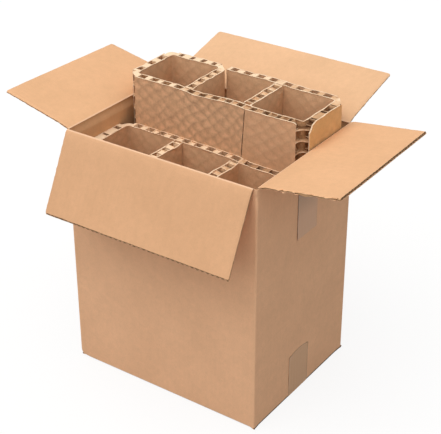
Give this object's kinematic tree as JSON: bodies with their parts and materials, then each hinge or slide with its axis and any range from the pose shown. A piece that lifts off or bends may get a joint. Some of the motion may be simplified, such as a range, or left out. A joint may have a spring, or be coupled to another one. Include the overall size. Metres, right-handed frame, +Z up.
{
  "type": "bottle shipping box",
  "caption": "Open corrugated carton with folded honeycomb paperboard inserts that make upright cells for shipping bottles.",
  "frame": {"origin": "centre of the box's footprint, on the plane that the taped underside stands on", "axes": "+X along the long side, -Y out of the long front wall, +Z up"},
  "size_m": [0.5543, 0.4269, 0.4272],
  "materials": {
    "corrugated_board": "matt kraft liner",
    "honeycomb_board": "matt kraft paper",
    "tape_film": "thin tan film, satin"
  },
  "bodies": {
    "carton": {"carton_body": "corrugated_board", "bottom_tape": "tape_film", "top_tape_right": "tape_film", "top_tape_left": "tape_film", "bottom_pad": "honeycomb_board", "rear_insert_left_strip": "honeycomb_board", "rear_insert_right_strip": "honeycomb_board", "front_insert_left_strip": "honeycomb_board", "front_insert_right_strip": "honeycomb_board"},
    "front_flap": {"flap_front": "corrugated_board"},
    "back_flap": {"flap_back": "corrugated_board"},
    "left_flap": {"flap_left": "corrugated_board"},
    "right_flap": {"flap_right": "corrugated_board"}
  },
  "joints": [
    {"name": "front_flap_hinge", "type": "hinge", "parent": "carton", "child": "front_flap", "pos_m": [0, -0.122, 0.3862], "axis": [-1, 0, 0], "range_deg": [-27, 236]},
    {"name": "back_flap_hinge", "type": "hinge", "parent": "carton", "child": "back_flap", "pos_m": [0, 0.122, 0.3862], "axis": [1, 0, 0], "range_deg": [-100, 74]},
    {"name": "left_flap_hinge", "type": "hinge", "parent": "carton", "child": "left_flap", "pos_m": [-0.159, 0, 0.3862], "axis": [0, 1, 0], "range_deg": [-96.5, 77.5]},
    {"name": "right_flap_hinge", "type": "hinge", "parent": "carton", "child": "right_flap", "pos_m": [0.159, 0, 0.3862], "axis": [0, -1, 0], "range_deg": [-93.5, 80.5]}
  ]
}
